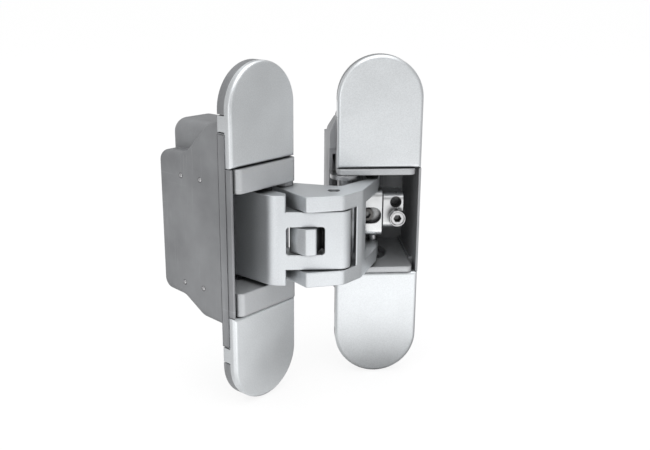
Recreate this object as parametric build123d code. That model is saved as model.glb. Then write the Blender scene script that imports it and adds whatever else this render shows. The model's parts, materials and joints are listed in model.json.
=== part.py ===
from build123d import *
import os
from math import atan2, cos, degrees, hypot, radians, sin

# Concealed door hinge with two crossing arms, in millimetres.
# Each leaf is drawn in its own leaf frame: X out of the leaf's face, Y towards the side
# where the two leaves meet when the door is open, Z up, origin at the face's centre.
# The finished hinge has its origin at the centre of the frame leaf's seat, on the flange's back,
# with +Z up, -Y out of the frame leaf's face and +X to the right as seen from the front.

# Leaf plates
LEAF_LENGTH = 118.0
LEAF_WIDTH = 30.0
CAP_THICKNESS = 2.6
FLANGE_THICKNESS = 3.2

# Clearances
RUNNING_CLEARANCE = 0.05
SLIDE_CLEARANCE = 0.3
SEAT_CLEARANCE = 0.1
ARM_CLEARANCE = 0.4
CAP_END_GAP = 0.2

# Linkage: fixed pivot in each leaf, centre pin at the closed door, end of travel
PIVOT_SETBACK = 3.0
PIVOT_EDGE = 3.0
CLOSED_GAP = 5.0
CENTRE_PIN_SIDE = -6.4
SLIDE_DEPTH = 28.9
SLIDE_SIDE = 0.95
REST_OPENING = 135.0
FULL_OPENING = 180.0
ARM_SHARE = 2.0 / 3.0

# Arms
ARM_HALF_HEIGHT = 15.6
TONGUE_HALF_HEIGHT = 10.0
LEVEL_GAP = 0.5
ARM_FRONT = 7.2
KNUCKLE_RADIUS = 3.6
LEG_HALF = 2.9
TONGUE_REAR = 1.8
HUB_REAR = 4.6
HUB_REACH = 5.0
HUB_CORNER = 4.0
T_BAR_REACH = 16.4
T_BAR_BEND_RADIUS = 7.0
WINDOW_HALF_HEIGHT = 4.9
WINDOW_NEAR = 3.4
WINDOW_CORNER = 1.1
PRONG_REACH = 13.7
PRONG_SIDE_REACH = 11.7
PRONG_SIDE = 8.9
BEND_START = 3.3
BEND_END = 6.7
BEND_RADIUS = 6.0
WEB_REACH = 23.9
WEB_RISE = 6.9
EAR_REAR = 3.8
EAR_START = 10.5
ARM_CORNER = 0.8
ARM_EDGE = 0.4
INSIDE_CORNER = 3.0
WEB_CORNER = 2.0
PRONG_CORNER = 1.5
ROUND_END = 0.92
FINGER_ROOT = 8.0
FINGER_SETBACK = 0.3
FINGER_HEEL = 2.1
FINGER_FRONT = 3.4
FINGER_SIDE_REACH = 13.6
FINGER_SIDE = 8.9

# Pins
CENTRE_PIN_RADIUS = 2.1
CENTRE_PIN_RECESS = 1.0
PIVOT_PIN_RADIUS = 2.0
SLIDE_PIN_RADIUS = 1.8
SLEEVE_RADIUS = 2.6
SLEEVE_FLANGE_RADIUS = 5.3
SHOE_RADIUS = 3.0
PIVOT_PIN_HOLD = 2.2

# Bearing blocks, stacked on the arms
WASHER_ROOM = 1.6
BLOCK_HEIGHT = 8.1
BLOCK_FLOOR = 1.2
BLOCK_HEAD_DEPTH = 8.0
BLOCK_HEAD_PROUD = 0.9
BLOCK_EDGE_RADIUS = 2.2
GROOVE_DEPTH = 2.6
GROOVE_STEPS = 9
RIVET_RADIUS = 0.8
RIVET_LENGTH = 5.0
RIVET_BACK = 11.6
RIVET_PITCH = 9.6
RIVET_RISE = 0.9

# Housing
HOUSING_DEPTH = 36.3
SIDE_WALL = 2.0
RIM_WALL = 0.8
BACK_WALL = 1.6
UPPER_WALL = 6.4
LOWER_WALL = 1.4
SHOULDER_SLOPE = 0.8
UPPER_FOOT_DEPTH = 22.8
UPPER_CREST_DEPTH = 12.0
UPPER_CREST_HEIGHT = 38.8
UPPER_SHOULDER_TOP = 41.4
LOWER_FOOT_DEPTH = 25.5
LOWER_CREST_DEPTH = 16.0
LOWER_CREST_HEIGHT = 28.8
LOWER_SHOULDER_TOP = 29.6
BACK_CORNER_RADIUS = 4.0
SHOULDER_RADIUS = 5.0
SIDE_ROUNDING = 2.0
TOWER_HALF_WIDTH = 9.5
TOWER_TOP = 37.8
TOWER_ROUNDING = 5.0
TOWER_BACK_ROUNDING = 4.5
BULGE = 2.2
BULGE_WALL = 1.2
BULGE_TOP = 31.0
BULGE_BOTTOM = 25.3
BULGE_BLEND = 5.0

# Fixing screw holes, in line along each leaf
SCREW_HOLE_RADIUS = 2.25
SCREW_HEAD_RADIUS = 4.2
OUTER_SCREW_END = 6.5
SCREW_PITCH = 9.0

# Caps
DOOR_CAP_SEAM = 0.4
FRAME_CAP_LIP = 2.3
CAP_EDGE_RADIUS = 1.2
CAP_WALL = 1.4
CAP_SKIN = 1.3
TAB_HEIGHT = 5.2
TAB_END = 19.1
TAB_THICKNESS = 1.1
TAB_GAP = 0.4

# Adjuster carriage, across the frame leaf's pocket
CARRIAGE_FRONT = 4.5
CARRIAGE_BACK = 3.9
CARRIAGE_BLOCK_HALF = 4.3
CARRIAGE_SIDE = 1.4
CARRIAGE_TOP = 9.6
CARRIAGE_BOTTOM = 8.2
CARRIAGE_ROUNDING = 2.6
CARRIAGE_BASE = 4.0
OBLONG_HALF_HEIGHT = 3.1
OBLONG_HALF_LENGTH = 4.0
OBLONG_DEPTH = 2.6
LUG_NEAR = 3.4
LUG_FAR = 6.2
LUG_BACK = 2.4
LUG_FRONT = 6.8
LUG_SPANS = ((0.6, 3.6), (-3.6, -1.4), (-7.4, -5.2))
LUG_STEM = 1.6
CLAMP_WIDTH = 7.4
CLAMP_GAP = 0.4
CLAMP_TOP = 8.4
CLAMP_BOTTOM = 5.2
CLAMP_HOLE_RADIUS = 2.1
CLAMP_HOLE_HEIGHT = 5.0
CLAMP_HOLE_SIDE = 0.9
CLAMP_SCREW_RADIUS = 3.1
CLAMP_SCREW_SHANK = 1.8
CLAMP_SCREW_PROUD = 3.2
CLAMP_SCREW_HEIGHT = -0.4
CLAMP_SCREW_SIDE = 1.2
SOCKET_RADIUS = 1.5
SOCKET_DEPTH = 2.0
SIDE_SCREW_RADIUS = 2.4
SIDE_SCREW_SIDE = 1.2

# Derived places
HALF_WIDTH = LEAF_WIDTH / 2
HALF_LENGTH = LEAF_LENGTH / 2
POCKET_HALF_WIDTH = HALF_WIDTH - SIDE_WALL
FLANGE_FRONT = -CAP_THICKNESS
FLANGE_BACK = -CAP_THICKNESS - FLANGE_THICKNESS
POCKET_BACK = -HOUSING_DEPTH + BACK_WALL
BLOCK_INNER = ARM_HALF_HEIGHT + WASHER_ROOM
BLOCK_OUTER = BLOCK_INNER + BLOCK_HEIGHT
BLOCK_BODY_OUTER = BLOCK_INNER + GROOVE_DEPTH + BLOCK_FLOOR
POCKET_HALF_HEIGHT = BLOCK_BODY_OUTER + SEAT_CLEARANCE
HEAD_ZONE = BLOCK_OUTER + SEAT_CLEARANCE
DOOR_CAP_START = BLOCK_OUTER + DOOR_CAP_SEAM
FRAME_CAP_START = BLOCK_INNER + FRAME_CAP_LIP
TAB_CENTRE = HALF_LENGTH - TAB_END
RIVET_DEPTHS = [HOUSING_DEPTH - RIVET_BACK - i * RIVET_PITCH for i in range(2)]
RIVET_HEIGHT = (BLOCK_INNER + BLOCK_BODY_OUTER) / 2
PIVOT = (-PIVOT_SETBACK, HALF_WIDTH - PIVOT_EDGE)
PIN_CLOSED = (CLOSED_GAP / 2, CENTRE_PIN_SIDE)
SLIDE_CLOSED = (-SLIDE_DEPTH, SLIDE_SIDE)
FAR_PIVOT = (CLOSED_GAP + PIVOT_SETBACK, PIVOT[1])
PRONG_START = TONGUE_HALF_HEIGHT + LEVEL_GAP


def turned(vector, angle):
    """Plan vector turned anticlockwise by an angle in degrees."""
    c = cos(radians(angle))
    s = sin(radians(angle))
    return (vector[0] * c - vector[1] * s, vector[0] * s + vector[1] * c)


def pin_at(opening):
    """Centre pin in the leaf frame when the door is opened by this angle."""
    reach = (PIN_CLOSED[0] - PIVOT[0], PIN_CLOSED[1] - PIVOT[1])
    step = turned(reach, ARM_SHARE * opening)
    return (PIVOT[0] + step[0], PIVOT[1] + step[1])


def slide_at(opening):
    """Sliding end of an arm in the leaf frame when the door is opened by this angle."""
    reach = (SLIDE_CLOSED[0] - PIN_CLOSED[0], SLIDE_CLOSED[1] - PIN_CLOSED[1])
    step = turned(reach, (1 - ARM_SHARE) * opening)
    pin = pin_at(opening)
    return (pin[0] + step[0], pin[1] + step[1])


PIN_REST = pin_at(REST_OPENING)
SLIDE_REST = slide_at(REST_OPENING)
DOOR_TURN = 90.0 - REST_OPENING
FRAME_PIN = (-PIN_REST[1], FLANGE_BACK - PIN_REST[0])
DOOR_PIN = turned(PIN_REST, DOOR_TURN)
DOOR_CENTRE = (FRAME_PIN[0] - DOOR_PIN[0], FRAME_PIN[1] - DOOR_PIN[1])


def on_door(shape):
    """Leaf frame to the door leaf's place, open at rest."""
    return Location((*DOOR_CENTRE, 0), (0, 0, DOOR_TURN)) * shape


def on_frame(shape):
    """Leaf frame to the frame leaf's place, a mirror image with its seat in the plane Y = 0."""
    return Location((0, FLANGE_BACK, 0), (0, 0, -90)) * mirror(shape, Plane.XZ)


def arm_at_rest(shape):
    """Arm drawn as it lies in the closed hinge, turned about the centre pin to its rest place."""
    turn = (1 - ARM_SHARE) * REST_OPENING
    return Pos(*PIN_REST, 0) * Rot(0, 0, turn) * Pos(-PIN_CLOSED[0], -PIN_CLOSED[1], 0) * shape


def plan_face(points, radii):
    """Closed plan outline with its own rounding at each corner."""
    return make_face(FilletPolyline(*points, radius=radii, close=True))


def slab(face, low, high):
    """Plan face raised between two heights."""
    return Pos(0, 0, low) * extrude(face, high - low, dir=(0, 0, 1))


def block(x0, x1, y0, y1, z0, z1):
    """Rectangular block between two corners."""
    centre = Pos((x0 + x1) / 2, (y0 + y1) / 2, (z0 + z1) / 2)
    return centre * Box(x1 - x0, y1 - y0, z1 - z0)


def post(point, radius, low, high):
    """Upright cylinder at a plan point."""
    return Pos(point[0], point[1], (low + high) / 2) * Cylinder(radius, high - low)


def rod_x(radius, x0, x1, y, z):
    """Cylinder along the leaf's depth."""
    return Pos((x0 + x1) / 2, y, z) * Rot(0, 90, 0) * Cylinder(radius, x1 - x0)


def rod_y(radius, x, y0, y1, z):
    """Cylinder across the leaf."""
    return Pos(x, (y0 + y1) / 2, z) * Rot(90, 0, 0) * Cylinder(radius, y1 - y0)


def stadium(length, width, x0, x1):
    """Plate with full-round ends, standing across the leaf's depth."""
    face = Plane.YZ * SlotOverall(length, width, rotation=90)
    return Pos(x0, 0, 0) * extrude(face, x1 - x0, dir=(1, 0, 0))


# Housings


def screw_heights():
    """Heights of the fixing screws, upper and lower ends."""
    outer = HALF_LENGTH - OUTER_SCREW_END
    return [end * height for end in (1, -1) for height in (outer - SCREW_PITCH, outer)]


def side_profile():
    """Side outline of the casting with its sloped shoulders."""
    upper = POCKET_HALF_HEIGHT + UPPER_WALL
    lower = -POCKET_HALF_HEIGHT - LOWER_WALL
    profile = [
        (-HOUSING_DEPTH, upper),
        (-UPPER_FOOT_DEPTH, upper + SHOULDER_SLOPE),
        (-UPPER_CREST_DEPTH, UPPER_CREST_HEIGHT),
        (FLANGE_FRONT, UPPER_SHOULDER_TOP),
        (FLANGE_FRONT, -LOWER_SHOULDER_TOP),
        (-LOWER_CREST_DEPTH, -LOWER_CREST_HEIGHT),
        (-LOWER_FOOT_DEPTH, lower - SHOULDER_SLOPE),
        (-HOUSING_DEPTH, lower),
    ]
    bend = SHOULDER_RADIUS
    radii = [BACK_CORNER_RADIUS, bend, bend, 0, 0, bend, bend, BACK_CORNER_RADIUS]
    return Plane.XZ * plan_face(profile, radii)


def housing_shell(cap_start):
    """Outer form of the casting: box with sloped shoulders, upper tower, side bulge and flange."""
    back = -HOUSING_DEPTH
    box = Pos(0, HALF_WIDTH, 0) * extrude(side_profile(), LEAF_WIDTH, dir=(0, -1, 0))
    for side in (0, -1):
        box = fillet(box.faces().sort_by(Axis.Y)[side].edges(), SIDE_ROUNDING)
    tower = block(back, FLANGE_FRONT, -TOWER_HALF_WIDTH, TOWER_HALF_WIDTH, 0, TOWER_TOP)
    tower = fillet(tower.edges().group_by(Axis.Z)[-1].filter_by(Axis.X), TOWER_ROUNDING)
    tower = fillet(tower.edges().group_by(Axis.X)[0].group_by(Axis.Z)[-1], TOWER_BACK_ROUNDING)
    rim_half = min(HEAD_ZONE, cap_start - CAP_END_GAP)
    rim = block(FLANGE_BACK, -CAP_END_GAP, -HALF_WIDTH, -POCKET_HALF_WIDTH, -rim_half, rim_half)
    flange = stadium(LEAF_LENGTH, LEAF_WIDTH, FLANGE_BACK, FLANGE_FRONT)
    return box + tower + flange + rim + side_bulge()


def side_bulge():
    """Arched strap on the meeting side, open to the front, with a hollow behind it."""
    outer = HALF_WIDTH + BULGE
    face = Plane.YZ * plan_face(
        [
            (POCKET_HALF_WIDTH, BULGE_TOP + BULGE_BLEND),
            (HALF_WIDTH, BULGE_TOP + BULGE_BLEND),
            (outer, BULGE_TOP),
            (outer, -BULGE_BOTTOM),
            (HALF_WIDTH, -BULGE_BOTTOM - BULGE),
            (POCKET_HALF_WIDTH, -BULGE_BOTTOM - BULGE),
        ],
        [0, 0, BULGE_BLEND, BULGE, 0, 0],
    )
    front = -BLOCK_HEAD_DEPTH + BULGE_WALL
    back = POCKET_BACK + BACK_WALL
    strap = Pos(back, 0, 0) * extrude(face, front - back, dir=(1, 0, 0))
    return strap & (Pos(0, outer, 0) * extrude(side_profile(), LEAF_WIDTH, dir=(0, -1, 0)))


def housing(cap_start):
    """Die-cast housing with its pocket, block seats, screw holes and cap notches."""
    body = housing_shell(cap_start)
    wide = POCKET_HALF_WIDTH
    pocket = block(POCKET_BACK, HOUSING_DEPTH, -wide, wide, -POCKET_HALF_HEIGHT, POCKET_HALF_HEIGHT)
    mouth = block(-BLOCK_HEAD_DEPTH, HOUSING_DEPTH, -wide, LEAF_WIDTH, -HEAD_ZONE, HEAD_ZONE)
    hollow_y0 = POCKET_HALF_WIDTH + BULGE_WALL
    hollow_y1 = HALF_WIDTH + BULGE - BULGE_WALL
    hollow_half = BLOCK_OUTER - BULGE
    hollow = block(
        POCKET_BACK + 2 * BACK_WALL, HOUSING_DEPTH, hollow_y0, hollow_y1, -POCKET_HALF_HEIGHT, hollow_half
    )
    arch = block(POCKET_BACK + 4 * BACK_WALL, 0, 0, hollow_y1, -BLOCK_INNER, BLOCK_INNER)
    rim_inside = HALF_WIDTH - RIM_WALL
    tall = ARM_HALF_HEIGHT + 2 * ARM_CLEARANCE
    swing = block(POCKET_BACK, HOUSING_DEPTH, -rim_inside, 0, -tall, tall)
    front_gap = block(-BLOCK_HEAD_DEPTH, HOUSING_DEPTH, -rim_inside, 0, -HEAD_ZONE, HEAD_ZONE)
    body = body - pocket - mouth - hollow - arch - swing - front_gap
    for height in screw_heights():
        body = body - rod_x(SCREW_HOLE_RADIUS, -HOUSING_DEPTH, 0, 0, height)
        sink = SCREW_HEAD_RADIUS - SCREW_HOLE_RADIUS
        cone = Cone(SCREW_HOLE_RADIUS, SCREW_HEAD_RADIUS, sink)
        body = body - Pos(FLANGE_FRONT - sink / 2, 0, height) * Rot(0, 90, 0) * cone
    for side in (1, -1):
        for end in (1, -1):
            body = body - tab_slot(side, end)
    for depth in RIVET_DEPTHS:
        for end in (1, -1):
            body = body - rod_y(RIVET_RADIUS, -depth, -HALF_WIDTH, 0, rivet_height(end))
    return body


def tab_slot(side, end):
    """Notch in the flange's edge for a cap's clip tab."""
    y = sorted((side * (HALF_WIDTH - TAB_THICKNESS - SEAT_CLEARANCE), side * LEAF_WIDTH))
    z = sorted((end * (TAB_CENTRE - TAB_HEIGHT / 2 - TAB_GAP), end * (TAB_CENTRE + TAB_HEIGHT / 2 + TAB_GAP)))
    return block(FLANGE_BACK, FLANGE_FRONT, *y, *z)


# Caps


def cap(start, end):
    """Clip-on cover cap with a soft front edge, a hollow back and two side tabs."""
    plate = stadium(LEAF_LENGTH, LEAF_WIDTH, FLANGE_FRONT, 0)
    far = end * (start + LEAF_LENGTH)
    keep = block(-HOUSING_DEPTH, HOUSING_DEPTH, -LEAF_WIDTH, LEAF_WIDTH, *sorted((end * start, far)))
    plate = plate & keep
    plate = fillet(plate.faces().sort_by(Axis.X)[-1].edges(), CAP_EDGE_RADIUS)
    inside = stadium(
        LEAF_LENGTH - 2 * CAP_WALL, LEAF_WIDTH - 2 * CAP_WALL, FLANGE_FRONT, -CAP_SKIN
    )
    room = block(
        -HOUSING_DEPTH, HOUSING_DEPTH, -LEAF_WIDTH, LEAF_WIDTH, *sorted((end * (start + CAP_WALL), far))
    )
    plate = plate - (inside & room)
    for side in (1, -1):
        y = sorted((side * (HALF_WIDTH - TAB_THICKNESS), side * HALF_WIDTH))
        z = sorted((end * (TAB_CENTRE - TAB_HEIGHT / 2), end * (TAB_CENTRE + TAB_HEIGHT / 2)))
        plate = plate + block(FLANGE_BACK, FLANGE_FRONT + CAP_SKIN / 2, *y, *z)
    return plate


# Bearing blocks


def guide_groove():
    """Groove along the way of the sliding end in its leaf, from closed to fully open."""
    radius = SHOE_RADIUS + SLIDE_CLEARANCE
    points = [slide_at(FULL_OPENING * i / GROOVE_STEPS) for i in range(GROOVE_STEPS + 1)]
    face = Pos(*points[0]) * Circle(radius)
    for first, last in zip(points, points[1:]):
        middle = ((first[0] + last[0]) / 2, (first[1] + last[1]) / 2)
        run = hypot(last[0] - first[0], last[1] - first[1])
        angle = degrees(atan2(last[1] - first[1], last[0] - first[0]))
        face = face + Pos(*middle) * Rot(0, 0, angle) * Rectangle(run, 2 * radius)
        face = face + Pos(*last) * Circle(radius)
    return slab(face, BLOCK_INNER, BLOCK_INNER + GROOVE_DEPTH)


def rivet_height(end):
    """Height of the rivets in the upper block for end 1 and in the lower block for -1."""
    return end * RIVET_HEIGHT + RIVET_RISE


def rivet(depth, end):
    """Staked pin from the far side wall into a block."""
    return rod_y(RIVET_RADIUS, -depth, -HALF_WIDTH, -HALF_WIDTH + RIVET_LENGTH, rivet_height(end))


def bearing_block(cap_start, end):
    """Block with the pivot pin's hole and the guide groove, upper for end 1 and lower for -1."""
    seat = POCKET_HALF_WIDTH - SEAT_CLEARANCE
    low, high = BLOCK_INNER, BLOCK_OUTER
    head_face = plan_face(
        [
            (-BLOCK_HEAD_DEPTH, -seat),
            (BLOCK_HEAD_PROUD, -seat),
            (BLOCK_HEAD_PROUD, HALF_WIDTH),
            (-BLOCK_HEAD_DEPTH, HALF_WIDTH),
        ],
        [0, BLOCK_EDGE_RADIUS, BLOCK_EDGE_RADIUS, 0],
    )
    head = slab(head_face, low, high)
    covered = min(cap_start - CAP_END_GAP, high)
    under_cap = FLANGE_FRONT - SEAT_CLEARANCE
    head = head - block(under_cap, LEAF_WIDTH, -LEAF_WIDTH, LEAF_WIDTH, covered, LEAF_LENGTH)
    body = block(POCKET_BACK + SEAT_CLEARANCE, -BLOCK_HEAD_DEPTH, -seat, seat, low, BLOCK_BODY_OUTER)
    piece = head + body - guide_groove() - post(PIVOT, PIVOT_PIN_RADIUS, low, low + PIVOT_PIN_HOLD)
    piece = piece if end > 0 else mirror(piece, Plane.XY)
    for depth in RIVET_DEPTHS:
        piece = piece - rivet(depth, end)
    return piece


def block_rivets():
    """Four staked pins through the far side wall into the blocks."""
    return Compound(children=[rivet(depth, end) for depth in RIVET_DEPTHS for end in (1, -1)])


def pivot_pin():
    """Fixed pivot pin, held in the blocks at both ends."""
    half = BLOCK_INNER + PIVOT_PIN_HOLD
    return post(PIVOT, PIVOT_PIN_RADIUS, -half, half)


def pivot_ring(radius, low, high, end):
    """Ring on the pivot pin between two heights, above the middle for end 1 and below for -1."""
    ring = post(PIVOT, radius, low, high) - post(PIVOT, PIVOT_PIN_RADIUS, low, high)
    return ring if end > 0 else mirror(ring, Plane.XY)


def door_washer(end):
    """Washer between the outer arm's prong and the door leaf's block."""
    return pivot_ring(KNUCKLE_RADIUS, ARM_HALF_HEIGHT + SEAT_CLEARANCE, BLOCK_INNER - SEAT_CLEARANCE, end)


def frame_sleeve(end):
    """Flanged sleeve between the inner arm's tongue and the frame leaf's block."""
    step = ARM_HALF_HEIGHT + SEAT_CLEARANCE
    sleeve = pivot_ring(SLEEVE_RADIUS, TONGUE_HALF_HEIGHT + SEAT_CLEARANCE, step, end)
    return sleeve + pivot_ring(SLEEVE_FLANGE_RADIUS, step, BLOCK_INNER - SEAT_CLEARANCE, end)


# Arms, drawn as they lie in the closed hinge


def leg_line(offset_rear, reach):
    """Point beside the leg, at a distance from its axis and from the slide pin."""
    away = turned((reach, offset_rear), -(1 - ARM_SHARE) * REST_OPENING)
    return (SLIDE_CLOSED[0] + away[0], SLIDE_CLOSED[1] + away[1])


def leg_reach_at(offset_rear, y):
    """Distance along the leg at which the line beside it comes to a height in plan."""
    slope = sin(radians((1 - ARM_SHARE) * REST_OPENING))
    return (leg_line(offset_rear, 0)[1] - y) / slope


def leg_end(rear):
    """Round end of a leg about the slide pin."""
    return [leg_line(rear, -LEG_HALF), leg_line(-LEG_HALF, -LEG_HALF)]


def leg_end_radii():
    """Rounding of the two corners of a leg's end."""
    return [ROUND_END * LEG_HALF, ROUND_END * LEG_HALF]


def t_bar_face():
    """Full-height part of the inner arm: bent leg and bar."""
    front = PIN_CLOSED[1] - ARM_FRONT
    bar = PIN_CLOSED[0] - T_BAR_REACH
    corner = leg_line(-LEG_HALF, leg_reach_at(-LEG_HALF, front))
    rear = leg_line(LEG_HALF, 0)
    step = bar - rear[0]
    points = leg_end(LEG_HALF) + [corner, (bar, front), (bar, rear[1] - step)]
    return plan_face(points, [*leg_end_radii(), T_BAR_BEND_RADIUS, ARM_CORNER, ARM_CORNER])


def inner_bow_face():
    """Tongue level of the inner arm, from the sliding end past the pin to the far pivot."""
    front = PIN_CLOSED[1] - ARM_FRONT
    corner = leg_line(-LEG_HALF, leg_reach_at(-LEG_HALF, front))
    rear_y = PIN_CLOSED[1] + TONGUE_REAR
    hub_x = PIN_CLOSED[0] + HUB_REACH
    points = leg_end(LEG_HALF) + [
        corner,
        (hub_x, front),
        (FAR_PIVOT[0] + KNUCKLE_RADIUS, FAR_PIVOT[1]),
        (FAR_PIVOT[0] + KNUCKLE_RADIUS, FAR_PIVOT[1] + KNUCKLE_RADIUS),
        (FAR_PIVOT[0] - KNUCKLE_RADIUS, FAR_PIVOT[1] + KNUCKLE_RADIUS),
        (FAR_PIVOT[0] - KNUCKLE_RADIUS, FAR_PIVOT[1]),
        (PIN_CLOSED[0] - HUB_REAR, PIN_CLOSED[1] + HUB_REAR),
        (PIN_CLOSED[0] - HUB_REAR - TONGUE_REAR, rear_y),
        leg_line(LEG_HALF, leg_reach_at(LEG_HALF, rear_y)),
    ]
    round_end = ROUND_END * KNUCKLE_RADIUS
    knuckle = [0, round_end, round_end, 0]
    radii = [*leg_end_radii(), T_BAR_BEND_RADIUS, HUB_CORNER, *knuckle, INSIDE_CORNER, ARM_CORNER, HUB_CORNER]
    return plan_face(points, radii)


def inner_arm():
    """T-shaped arm with a window for the stop finger."""
    arm = slab(t_bar_face(), -ARM_HALF_HEIGHT, ARM_HALF_HEIGHT)
    arm = arm + slab(inner_bow_face(), -TONGUE_HALF_HEIGHT, TONGUE_HALF_HEIGHT)
    bar = PIN_CLOSED[0] - T_BAR_REACH
    window = block(
        bar,
        PIN_CLOSED[0] - WINDOW_NEAR,
        PIN_CLOSED[1] - 2 * ARM_FRONT,
        PIN_CLOSED[1] + 2 * ARM_FRONT,
        -WINDOW_HALF_HEIGHT,
        WINDOW_HALF_HEIGHT,
    )
    window = fillet(window.edges().filter_by(Axis.Y), WINDOW_CORNER)
    half = WINDOW_HALF_HEIGHT
    swing = post(PIN_CLOSED, finger_hub_radius() + ARM_CLEARANCE, -half, half)
    behind = block(bar, PIN_CLOSED[0], PIN_CLOSED[1], PIN_CLOSED[1] + 2 * ARM_FRONT, -half, half)
    arm = arm - window - swing - behind
    tall = 2 * ARM_HALF_HEIGHT
    arm = arm - post(PIN_CLOSED, CENTRE_PIN_RADIUS + RUNNING_CLEARANCE, -tall, tall)
    arm = arm - post(FAR_PIVOT, PIVOT_PIN_RADIUS + RUNNING_CLEARANCE, -tall, tall)
    return arm - post(SLIDE_CLOSED, SLIDE_PIN_RADIUS, -tall, tall)


def finger_hub_radius():
    """Radius of the stop finger's ring about the centre pin."""
    return CENTRE_PIN_RADIUS + ARM_CLEARANCE + LEG_HALF / 2


def outer_bow_points():
    """Corners of the outer arm's outline, front side first, from the sliding end round to it."""
    front = PIN_CLOSED[1] - ARM_FRONT
    web_end = (PIN_CLOSED[0] - WEB_REACH, front + WEB_RISE)
    return [
        leg_line(EAR_REAR, -LEG_HALF),
        leg_line(-LEG_HALF, -LEG_HALF),
        web_end,
        (PIN_CLOSED[0] - BEND_END, front),
        (PIN_CLOSED[0] + BEND_START, front),
        (PIN_CLOSED[0] + PRONG_REACH, PIN_CLOSED[1]),
        (PIN_CLOSED[0] + PRONG_SIDE_REACH, PIN_CLOSED[1] + PRONG_SIDE),
        (FAR_PIVOT[0] + KNUCKLE_RADIUS, FAR_PIVOT[1]),
        (FAR_PIVOT[0] + KNUCKLE_RADIUS, FAR_PIVOT[1] + KNUCKLE_RADIUS),
        (FAR_PIVOT[0] - KNUCKLE_RADIUS, FAR_PIVOT[1] + KNUCKLE_RADIUS),
        (FAR_PIVOT[0] - KNUCKLE_RADIUS, FAR_PIVOT[1]),
        (PIN_CLOSED[0] - HUB_REAR, PIN_CLOSED[1] + HUB_REAR),
        (PIN_CLOSED[0] - HUB_REAR - TONGUE_REAR, PIN_CLOSED[1] + TONGUE_REAR),
        leg_line(EAR_REAR, leg_reach_at(EAR_REAR, PIN_CLOSED[1] + TONGUE_REAR)),
    ]


def outer_arm():
    """Forked arm: two prongs, a full-height web and two ears at the sliding end."""
    round_end = ROUND_END * KNUCKLE_RADIUS
    knuckle = [0, round_end, round_end, 0]
    web = [INSIDE_CORNER, ROUND_END * LEG_HALF, WEB_CORNER]
    prong = [BEND_RADIUS, INSIDE_CORNER, ARM_CORNER, PRONG_CORNER]
    radii = [*web, *prong, *knuckle, INSIDE_CORNER, ARM_CORNER, WEB_CORNER]
    arm = slab(plan_face(outer_bow_points(), radii), -ARM_HALF_HEIGHT, ARM_HALF_HEIGHT)
    arm = arm - tongue_room()
    tall = 2 * ARM_HALF_HEIGHT
    arm = arm - post(PIN_CLOSED, CENTRE_PIN_RADIUS, -tall, tall)
    arm = arm - post(FAR_PIVOT, PIVOT_PIN_RADIUS + RUNNING_CLEARANCE, -tall, tall)
    return arm - post(SLIDE_CLOSED, SLIDE_PIN_RADIUS, -tall, tall)


def tongue_edge(x, y):
    """Point of the inner arm's outline about the pin, seen from the outer arm with the door fully open."""
    swing = (2 * ARM_SHARE - 1) * FULL_OPENING
    step = turned((-x, y), swing)
    return (PIN_CLOSED[0] + step[0], PIN_CLOSED[1] + step[1])


def tongue_room():
    """Space between the prongs and ears for the inner arm's tongue at every opening."""
    hub = Pos(*PIN_CLOSED) * Circle(ARM_FRONT + 2 * ARM_CLEARANCE)
    hub_corner = tongue_edge(HUB_REACH, -ARM_FRONT)
    knuckle = tongue_edge(
        FAR_PIVOT[0] + KNUCKLE_RADIUS - PIN_CLOSED[0], FAR_PIVOT[1] - PIN_CLOSED[1]
    )
    run = (knuckle[0] - hub_corner[0], knuckle[1] - hub_corner[1])
    length = hypot(*run)
    front = turned((run[0] * ARM_CLEARANCE / length, run[1] * ARM_CLEARANCE / length), 90)
    behind = turned(run, -90)
    start = (hub_corner[0] + front[0], hub_corner[1] + front[1])
    stop = (start[0] + 2 * run[0], start[1] + 2 * run[1])
    corners = [start, stop]
    corners = corners + [(x + behind[0], y + behind[1]) for x, y in (stop, start)]
    leg = make_face(Polyline(*corners, close=True))
    room = slab(hub + leg, -PRONG_START, PRONG_START)
    far = LEAF_LENGTH
    prong_side = block(PIN_CLOSED[0], far, -far, far, -PRONG_START, PRONG_START)
    ear_start = PIN_CLOSED[0] - EAR_START
    return room + prong_side + block(-far, ear_start, -far, far, -PRONG_START, PRONG_START)


def centre_finger():
    """Stop finger on the centre pin, seen through the inner arm's window."""
    half = WINDOW_HALF_HEIGHT - ARM_CLEARANCE
    ring = post(PIN_CLOSED, finger_hub_radius(), -half, half)
    slope = degrees(atan2(ARM_FRONT, PRONG_REACH - BEND_START))
    front = turned((FINGER_FRONT, 0), slope)
    tip = (PRONG_REACH - FINGER_SETBACK, FINGER_SETBACK)
    corners = [
        (0, 0),
        (finger_hub_radius() - ARM_CLEARANCE, FINGER_HEEL),
        (FINGER_ROOT, FINGER_SETBACK),
        (tip[0] - front[0], tip[1] - front[1]),
        tip,
        (FINGER_SIDE_REACH, FINGER_SIDE),
    ]
    points = [(PIN_CLOSED[0] + x, PIN_CLOSED[1] + y) for x, y in corners]
    face = plan_face(points, [0, 0, 0, ARM_CORNER, ARM_CORNER, ARM_CORNER])
    finger = ring + slab(face, -half, half)
    return finger - post(PIN_CLOSED, CENTRE_PIN_RADIUS, -half, half)


def centre_pin():
    """Pin at the crossing of the arms, a little below the prongs' faces."""
    half = ARM_HALF_HEIGHT - CENTRE_PIN_RECESS
    return post(PIN_CLOSED, CENTRE_PIN_RADIUS, -half, half)


def slide_pin():
    """Pin at an arm's sliding end that carries the two shoes."""
    half = BLOCK_INNER + GROOVE_DEPTH - SLIDE_CLEARANCE
    return post(SLIDE_CLOSED, SLIDE_PIN_RADIUS, -half, half)


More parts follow.
